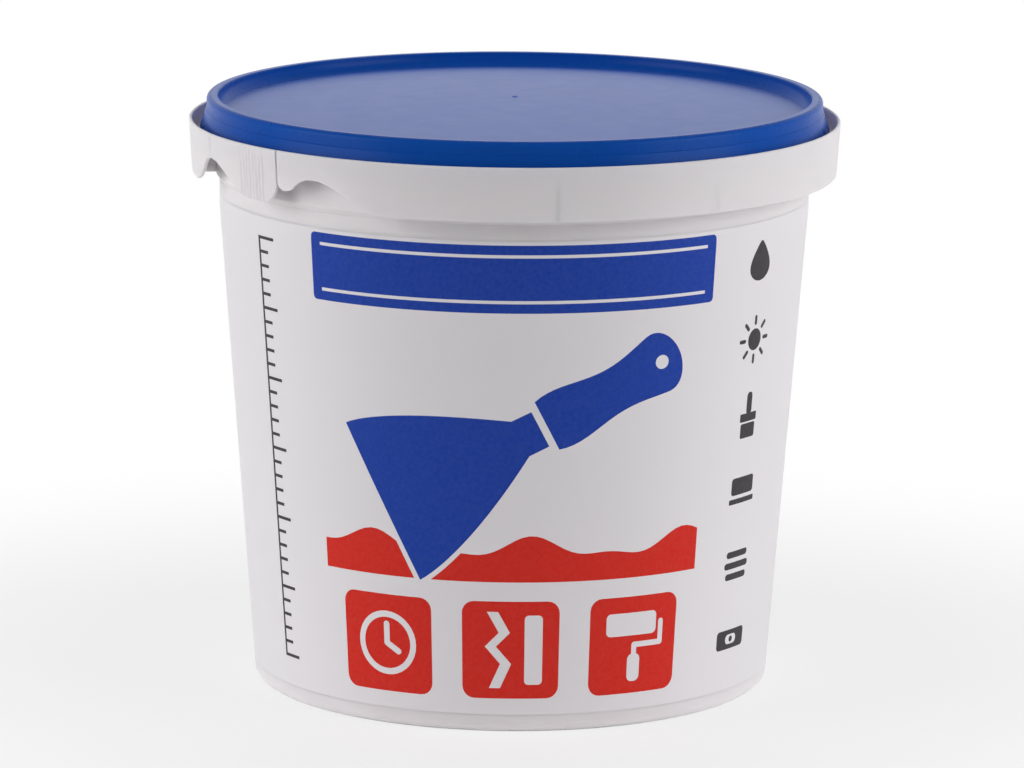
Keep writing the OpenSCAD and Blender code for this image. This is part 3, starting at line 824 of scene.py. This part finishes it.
def recess_line():
    """Over the lip and down the hollow curve of the recess to the panel."""
    return np.concatenate([arc((RECESS_R + LIP_R, LID_Z - LIP_R), LIP_R, 90, 180),
                           arc(RECESS_AT, RECESS_CURVE, 0, -RECESS_TURN, 12)])


def panel_line():
    """The panel from its crisp edge over the dome to the gate mark, which stands up a little."""
    crown = PANEL_Z + PANEL_CROWN
    gate = rounded([(GATE_R + GATE_FOOT, crown, 0), (GATE_R, crown, GATE_FILLETS[0]),
                    (GATE_R * GATE_SHARE, crown + GATE_H, GATE_FILLETS[1]), (0, crown + GATE_H, 0)])
    return np.concatenate([dome_line(0)[:-1], gate])


def matt(patch):
    """The patch in its piece's second finish."""
    return dict(patch, inks=np.ones(len(patch["faces"]), int))


rim_line = np.array([(LID_R - EDGE_R, LID_Z), (RECESS_R + LIP_R, LID_Z)])
lid_patches += [matt(turned(rim_line)), turned(recess_line()), matt(turned(panel_line()))]
make_piece("lid_moulding", lid_patches, [lid_blue, lid_matt], "lid", "lid")

# %% [markdown]
# The label is a printed film in a shallow bed of the wall, with its ends meeting at the back. Its skin is
# semi-gloss, and the wall behind it shows as slow waves. Each ink is the same film in another colour.

# %% Inks and film
FILM_WAVES, FILM_GRAIN = (24.0, 2.0), (900.0, 3.0)
FILM_DEPTH, FILM_SPECULAR = 0.00008, 0.06
PALE_SHARE, FILM_DOWN, FILM_UP = 0.012, 0.04, 0.05


def film(name, colour, rough):
    """Printed film: a semi-gloss skin whose colour is a little uneven, with slow waves in it."""
    pale = tuple(c + (1 - c) * PALE_SHARE for c in colour)
    rough_range = rough - FILM_DOWN, rough + FILM_UP
    material = finish(name, colour, pale, FILM_GRAIN, FILM_WAVES, rough_range, FILM_SPECULAR)
    add_bump(material, noise(material.node_tree, *FILM_WAVES), FILM_DEPTH)
    return material


WHITE, BLUE, RED, GREY = range(4)
inks = [film("film_white", (0.772, 0.750, 0.772), 0.4), film("ink_blue", (0.014, 0.053, 0.355), 0.38),
        film("ink_red", (0.64, 0.026, 0.016), 0.38), film("ink_grey", (0.050, 0.047, 0.050), 0.4)]
print("inks", [m.name for m in inks])

# %% [markdown]
# The print is a plain design of flat colours: a blue header, a filling knife over a red layer of filler,
# red tiles with pictograms, and a grey scale and a column of signs at the sides. Every shape is a closed
# outline on the flat label, x along it and z up, made from a few blocks, discs and strokes.

# %% Blocks, discs and strokes
def block(x, z, w, h, r=0.0):
    """A rectangle about its middle, with round corners."""
    corners = np.array([(1, -1), (1, 1), (-1, 1), (-1, -1)])
    if r == 0:
        return corners * (w / 2, h / 2) + (x, z)
    centres = corners * (w / 2 - r, h / 2 - r) + (x, z)
    return np.concatenate([arc(centre, r, 90 * k - 90, 90 * k, 5) for k, centre in enumerate(centres)])


def disc(x, z, r, n=36):
    """A circle."""
    return arc((x, z), r, 0, 360 * (n - 1) / n, n - 1)


def moved(outline, x, z, turn=0.0):
    """An outline turned by an angle in degrees and moved."""
    c, s = math.cos(math.radians(turn)), math.sin(math.radians(turn))
    return outline @ np.array([(c, s), (-s, c)]) + (x, z)


def stroke(x0, z0, x1, z1, w):
    """A straight stroke of even width with round ends."""
    length = math.hypot(x1 - x0, z1 - z0)
    ends = np.concatenate([arc((length, 0), w / 2, -90, 90, 8), arc((0, 0), w / 2, 90, 270, 8)])
    return moved(ends, x0, z0, math.degrees(math.atan2(z1 - z0, x1 - x0)))


def inked(outlines, ink):
    """Outlines, each with the one ink."""
    return [(outline, ink) for outline in outlines]


def placed(sign, x, z, turn=0.0):
    """A sign with its inks, turned and moved to its place."""
    return [(moved(outline, x, z, turn), ink) for outline, ink in sign]


# %% [markdown]
# The knife and the layer are the picture. The knife lies along its own axis and is mirrored about it, so
# half widths along the axis are all that it needs. A white rim sets it off from the layer.

# %% Header, knife and layer
HEADER_Z, HEADER_W, HEADER_H, HEADER_R = 129.3, 114.0, 19.0, 1.2
RULE_AT, RULE_W, LINE_W = 6.4, 108.0, 0.9
KNIFE_X, KNIFE_Z, KNIFE_TURN, KNIFE_RIM = -37.0, 64.5, 27.0, 1.4
BLADE_L, BLADE_HALF, BLADE_POWER, SHANK_L, SHANK_HALF = 44.0, 24.0, 1.5, 6.0, 5.5
HANDLE_AT, HANDLE_L, HANDLE_HALF, HANDLE_WAIST, HANDLE_NECK = 52.0, 42.0, 8.2, 1.6, 2.2
END_FROM, END_SPAN = 0.82, math.sqrt(0.0325)
HOLE_AT, HOLE_R = 88.0, 2.0
LAYER_LOW, LAYER_TOP, LAYER_HALF = 43.5, 53.0, HEADER_W / 2
LAYER_WAVES = ((2.6, 2.4, 0.8), (1.2, 5.0, 0.0))


def spindle(u, half):
    """A shape mirrored about its axis: half widths along it, out on one side and back on the other."""
    return np.concatenate([np.column_stack([u, -half]), np.column_stack([u, half])[::-1]])


def knife(grow=0.0):
    """A filling knife along its axis: a blade that narrows with a power of the length to its shank, and a
    handle with a cosine for its waist, a thin neck and an elliptic end."""
    u = np.linspace(0, 1, 21)
    blade_u = np.concatenate([[-grow], BLADE_L * u, [BLADE_L + SHANK_L + grow]])
    narrowing = BLADE_HALF - (BLADE_HALF - SHANK_HALF) * u ** BLADE_POWER
    blade_w = np.concatenate([[BLADE_HALF], narrowing, [SHANK_HALF]]) + grow
    v = np.sin(np.linspace(0, np.pi / 2, 33))
    waist = HANDLE_HALF + HANDLE_WAIST * np.cos(2 * np.pi * v) - HANDLE_NECK * (1 - v) ** 6
    handle_w = waist * np.sqrt(1 - (np.maximum(v - END_FROM, 0) / END_SPAN) ** 2) + grow
    handle_u = HANDLE_AT + HANDLE_L * v + np.linspace(-grow, grow, len(v))
    return [spindle(blade_u, blade_w), spindle(handle_u, handle_w)]


def layer():
    """The layer of filler: a band with a level lower edge and an upper edge of two slow waves."""
    x = np.linspace(-LAYER_HALF, LAYER_HALF, 58)
    top = LAYER_TOP + sum(h * np.sin(np.pi * n * x / LAYER_HALF + at) for h, n, at in LAYER_WAVES)
    return np.concatenate([np.column_stack([x, 0 * x + LAYER_LOW]), np.column_stack([x, top])[::-1]])


picture = [(block(0, HEADER_Z, HEADER_W, HEADER_H, HEADER_R), BLUE)]
picture += [(block(0, HEADER_Z + k * RULE_AT, RULE_W, LINE_W), WHITE) for k in (-1, 1)]
picture += [(layer(), RED)]
hole = [(disc(HOLE_AT, 0, HOLE_R, 20), WHITE)]
whole_knife = inked(knife(KNIFE_RIM), WHITE) + inked(knife(), BLUE) + hole
picture += placed(whole_knife, KNIFE_X, KNIFE_Z, KNIFE_TURN)
print("picture", len(picture), "outlines")

# %% [markdown]
# Each sign is drawn in millimetres about its own middle, and loops then place them: a clock, a crack and a
# roller on the tiles, and a drop, a sun, a brush, a sanding block, three coats and a spirit level in the
# column. The scale is a line with ticks.

# %% Tiles
TILE, TILE_R, TILE_Z, TILE_PITCH = 28.0, 3.5, 24.0, 37.0
HAND_W, WIRE_W, CRACK_HALF = 1.8, 1.6, 1.6

hands = [stroke(0, 0, 0, 5.4, HAND_W), stroke(0, 0, 3.6, -2.2, HAND_W)]
clock = [(disc(0, 0, 9.2), WHITE), (disc(0, 0, 7.4), RED)] + inked(hands, WHITE)
zigzag = np.array([(-5.2, 11), (-1.8, 5), (-5.8, 1), (-1.4, -4), (-4.6, -11)])
gap = np.concatenate([zigzag - (CRACK_HALF, 0), zigzag[::-1] + (CRACK_HALF, 0)])
crack = inked([gap, block(6.6, 0, 5.2, 20, 1.2)], WHITE)
wire = [stroke(8.6, 6, 8.6, 0, WIRE_W), stroke(8.6, 0, 0, 0, WIRE_W), stroke(0, 0, 0, -3, WIRE_W)]
roller = inked([block(-1, 6, 16, 6.6, 1.4), *wire, block(0, -6.6, 4, 8, 1.6)], WHITE)
tiles = []
for k, pictogram in enumerate((clock, crack, roller)):
    tile = [(block(0, 0, TILE, TILE, TILE_R), RED)]
    tiles += placed(tile + pictogram, (k - 1) * TILE_PITCH, TILE_Z)
print("tiles", len(tiles), "outlines")

# %% Scale on the left, with every fifth tick long
SCALE_X, SCALE_LOW, SCALE_HIGH, TICK_STEP = -79.0, 14.0, 134.0, 4.0
TICK_LONG, TICK_SHORT, TICK_GROUP = 6.8, 4.0, 5

scale = [block(SCALE_X, (SCALE_LOW + SCALE_HIGH) / 2, LINE_W, SCALE_HIGH - SCALE_LOW + LINE_W)]
for k, z in enumerate(np.arange(SCALE_LOW, SCALE_HIGH + LINE_W, TICK_STEP)):
    length = TICK_SHORT if k % TICK_GROUP else TICK_LONG
    scale.append(block(SCALE_X + length / 2, z, length, LINE_W))
sides = inked(scale, GREY)
print("scale", len(sides), "outlines")

# %% Column of signs on the right
SIGN_X, SIGN_HIGH, SIGN_LOW = 76.0, 128.0, 20.0
DROP_SIZE, RAY_COUNT, RAY_FROM, RAY_TO, RAY_W = 4.6, 8, 4.6, 6.4, 1.1
COAT_STEP, COAT_W, COAT_TAPER = 3.2, 12.0, 1.5


def drop():
    """A drop: a circle whose upper half is drawn out to a point."""
    t = np.linspace(0, 2 * np.pi, 41)[:-1]
    side = np.cos(t) * (1 - 0.28 * np.sin(t) - 0.28 * np.sin(t) ** 2)
    rise = 1.25 * np.sin(t) + 0.2 * np.sin(t) ** 2
    return DROP_SIZE * np.column_stack([side, rise])


ray = stroke(RAY_FROM, 0, RAY_TO, 0, RAY_W)
sun = [disc(0, 0, 3.1)] + [moved(ray, 0, 0, 360 / RAY_COUNT * k) for k in range(RAY_COUNT)]
brush = [block(0, 3.4, 2.6, 6.4, 1.2), block(0, -0.6, 8, 2.4, 0.4), block(0, -4.4, 7, 4.2, 0.6)]
sanding_block = [block(0, 1.4, 11, 5, 1), block(0, -2.9, 12.4, 1.5, 0.4)]
coats = [block(0, k * COAT_STEP, COAT_W - COAT_TAPER * abs(k), 1.9, 0.9) for k in (-1, 0, 1)]
column = [inked(sign, GREY) for sign in ([drop()], sun, brush, sanding_block, coats)]
window, bubble = block(0, 0, 5.4, 2.8, 1.3), disc(0, 0, 0.9, 16)
column.append([(block(0, 0, 14, 5.6, 1.2), GREY), (window, WHITE), (bubble, GREY)])
for sign, z in zip(column, np.linspace(SIGN_HIGH, SIGN_LOW, len(column))):
    sides += placed(sign, SIGN_X, z)
print("column", len(column), "signs")

# %% [markdown]
# A picture texture would blur, so the film itself is cut along the outlines. A constrained triangulation
# of the flat label keeps every outline as edges, and each triangle takes the ink of the topmost shape
# over it. The outlines run anticlockwise, with points at short steps, so that they bend with the wall.

# %% The flat label, cut along its print
SHEET_R, SEAM_W = 78.2, 1.5
OUTLINE_STEP, LABEL_STEP, LABEL_ROWS = 1.6, 2.6, 16
INSIDE, TOUCH = 1, 1e-5


def stepped(outline):
    """A closed outline with points added, so that no side is longer than the step."""
    ends = np.roll(outline, -1, axis=0)
    counts = np.maximum(np.ceil(np.linalg.norm(ends - outline, axis=1) / OUTLINE_STEP).astype(int), 1)
    start = np.repeat(np.arange(len(outline)), counts)
    share = (np.arange(counts.sum()) - np.repeat(np.cumsum(counts) - counts, counts)) / counts[start]
    return outline[start] + (ends - outline)[start] * share[:, None]


shapes = [(stepped(outline), ink) for outline, ink in picture + tiles + sides]


def label_sheet():
    """The flat label as triangles with an ink each: a net, its border and the outlines, triangulated."""
    half = (math.pi - SEAM_W / 2 / BAND_R) * SHEET_R
    x = np.linspace(-half, half, int(2 * half / LABEL_STEP))
    rows = np.concatenate([np.linspace(label_low[2], TAPER_H, LABEL_ROWS), label_high[2:]])
    net = np.stack(np.meshgrid(x, rows), axis=-1).reshape(-1, 2)
    number = np.arange(len(net)).reshape(len(rows), len(x))
    border = np.concatenate([number[0], number[1:, -1], number[-1, -2::-1], number[-2:0:-1, 0]])
    fold = np.column_stack([number[-2, :-1], number[-2, 1:]])
    outlines = [outline for outline, _ in shapes]
    starts = len(net) + np.cumsum([0] + [len(outline) for outline in outlines])
    loops = [border.tolist()] + [list(range(*ends)) for ends in zip(starts, starts[1:])]
    flat = [Vector(p) for p in np.concatenate([net] + outlines)]
    made = delaunay_2d_cdt(flat, fold.tolist(), loops, INSIDE, TOUCH, True)
    points, triangles, shapes_over = made[0], made[2], made[5]
    ink = [WHITE] + [i for _, i in shapes]
    topmost = np.array([ink[max(over)] for over in shapes_over])
    return np.array([tuple(p) for p in points]), np.array(triangles), topmost


sheet, corners, sheet_inks = label_sheet()
print("label", len(shapes), "outlines", len(corners), "triangles")

# %% [markdown]
# The flat sheet is then wrapped round the cone: x becomes an angle, and the wall's own radius at each
# height carries it. The same sheet, one film's thickness further in, is the back of the label.

# %% Label, wrapped round the wall
def label_patches():
    """Outer and inner faces from the wrapped sheet, and strips that close its four edges."""
    a, z = np.degrees(sheet[:, 0] / SHEET_R), sheet[:, 1]
    faces = np.column_stack([corners, corners[:, 2]])
    lean = np.where(z > TAPER_H + WELD, 0.0, -TAPER)
    out = unit(around(1.0, a, 0.0) + np.column_stack([0 * z, 0 * z, lean]))
    front, behind = around(wall_r(z), a, z), around(wall_r(z) - LABEL_T, a, z)
    patches = [{"points": front, "faces": faces, "normals": out, "inks": sheet_inks},
               {"points": behind, "faces": faces[:, ::-1], "normals": -out, "inks": 0 * sheet_inks}]
    for on_edge, along, flip in ((z < z.min() + WELD, a, False), (z > z.max() - WELD, a, True),
                                 (a < a.min() + WELD, z, True), (a > a.max() - WELD, z, False)):
        line = np.flatnonzero(on_edge)
        line = line[np.argsort(along[line])]
        patches.append(grid_patch(np.stack([front[line], behind[line]]), flip=flip))
    return patches


make_piece("label_film", label_patches(), inks, "tub", "label")

# %% [markdown]
# Inside, the paste still shows how it was filled: a nozzle wound it up from the wall in a spiral and left
# a soft peak in the middle. It is matt, with fine grains and pin holes.

# %% Finish of the paste
PASTE_DARK, PASTE_LIGHT = (0.82, 0.81, 0.78), (0.87, 0.865, 0.84)
PASTE_ROUGH, PASTE_SPECULAR = (0.5, 0.68), 0.5
PASTE_DRIFT, PASTE_GRAIN, PIT_CELLS = (40.0, 3.0), (1200.0, 4.0), 420.0
GRAIN_DEPTH, PIT_DEPTH = 0.00008, 0.00012
PIT_CORE, PIT_EDGE = 0.02, 0.16

paste_white = finish("paste_white", PASTE_DARK, PASTE_LIGHT, PASTE_DRIFT, PASTE_GRAIN, PASTE_ROUGH,
                     PASTE_SPECULAR)
paste_tree = paste_white.node_tree
pits = ranged(paste_tree, cells(paste_tree, PIT_CELLS), 0.0, 1.0, PIT_CORE, PIT_EDGE)
add_bump(paste_white, pits, PIT_DEPTH)
add_bump(paste_white, noise(paste_tree, *PASTE_GRAIN), GRAIN_DEPTH)
print("paste", paste_white.name)

# %% [markdown]
# The surface of the paste is a height over the disc: a wave that winds one arm inwards, flattened at the
# wall, with slow unevenness on top. The rest of the paste is turned like the tub.

# %% Filler paste
FILL_GAP, FILL_DEPTH = 0.1, 133.7
RIPPLE_H, RIPPLE_TURNS, RIPPLE_EASE, CREST_POWER = 1.2, 4.5, 1.08, 1.4
RIPPLE_BASE_SHARE = 0.2
UNEVEN = ((0.16, 2, 5), (0.12, 3, -9))
PEAK_H, PEAK_R, PEAK_SOFT, PEAK_AT = 2.2, 4.6875, 1.5, (1.6, -1.1)
FADE_FROM_SHARE, START_TO_SHARE, START_POWER = 0.86, 0.12, 1.5


def paste_height(r, a, top_r):
    """Height over the wall line: a one-armed spiral wave with crests sharper than its hollows, slow
    unevenness and a leaning peak that falls off exponentially, all fading to nothing at the wall."""
    u, turn = r / top_r, np.radians(a)
    wave = 0.5 - 0.5 * np.cos(2 * np.pi * RIPPLE_TURNS * (1 - u) ** RIPPLE_EASE - turn)
    uneven = sum(h * np.sin(n * turn + k * u) for h, n, k in UNEVEN)
    x, y = r * np.sin(turn) - PEAK_AT[0], -r * np.cos(turn) - PEAK_AT[1]
    peak = PEAK_H * np.exp(-np.sqrt(x * x + y * y + PEAK_SOFT) / PEAK_R)
    fade = 1 - np.clip((u - FADE_FROM_SHARE) / (1 - FADE_FROM_SHARE), 0, 1) ** 2
    start = np.clip(u / START_TO_SHARE, 0, 1) ** START_POWER
    return fade * (RIPPLE_H * (wave ** CREST_POWER * start + RIPPLE_BASE_SHARE) + uneven * start + peak)


def paste_patches():
    """The open surface as a disc of rings, and the hidden flank and underside as a turned line."""
    z0, turn_z = FLOOR_Z + FILL_GAP, FLOOR_Z + FLOOR_FILLET
    top_z = z0 + FILL_DEPTH
    top_r = wall_r(top_z) - WALL_T - FILL_GAP
    turn_r = wall_r(turn_z) - WALL_T - FLOOR_FILLET
    corner = arc((turn_r, turn_z), FLOOR_FILLET - FILL_GAP, -90, 0)
    flank = np.concatenate([[(0, z0)], corner, [(top_r, top_z)]])
    r = top_r * np.linspace(1, 0, 121)[:, None]
    a = ROUND[None, :]
    z = top_z + paste_height(r, a, top_r)
    return [turned(flank), grid_patch(around(r, a, z), wrap=True)]


make_piece("filler_paste", paste_patches(), [paste_white], "tub", "filler")
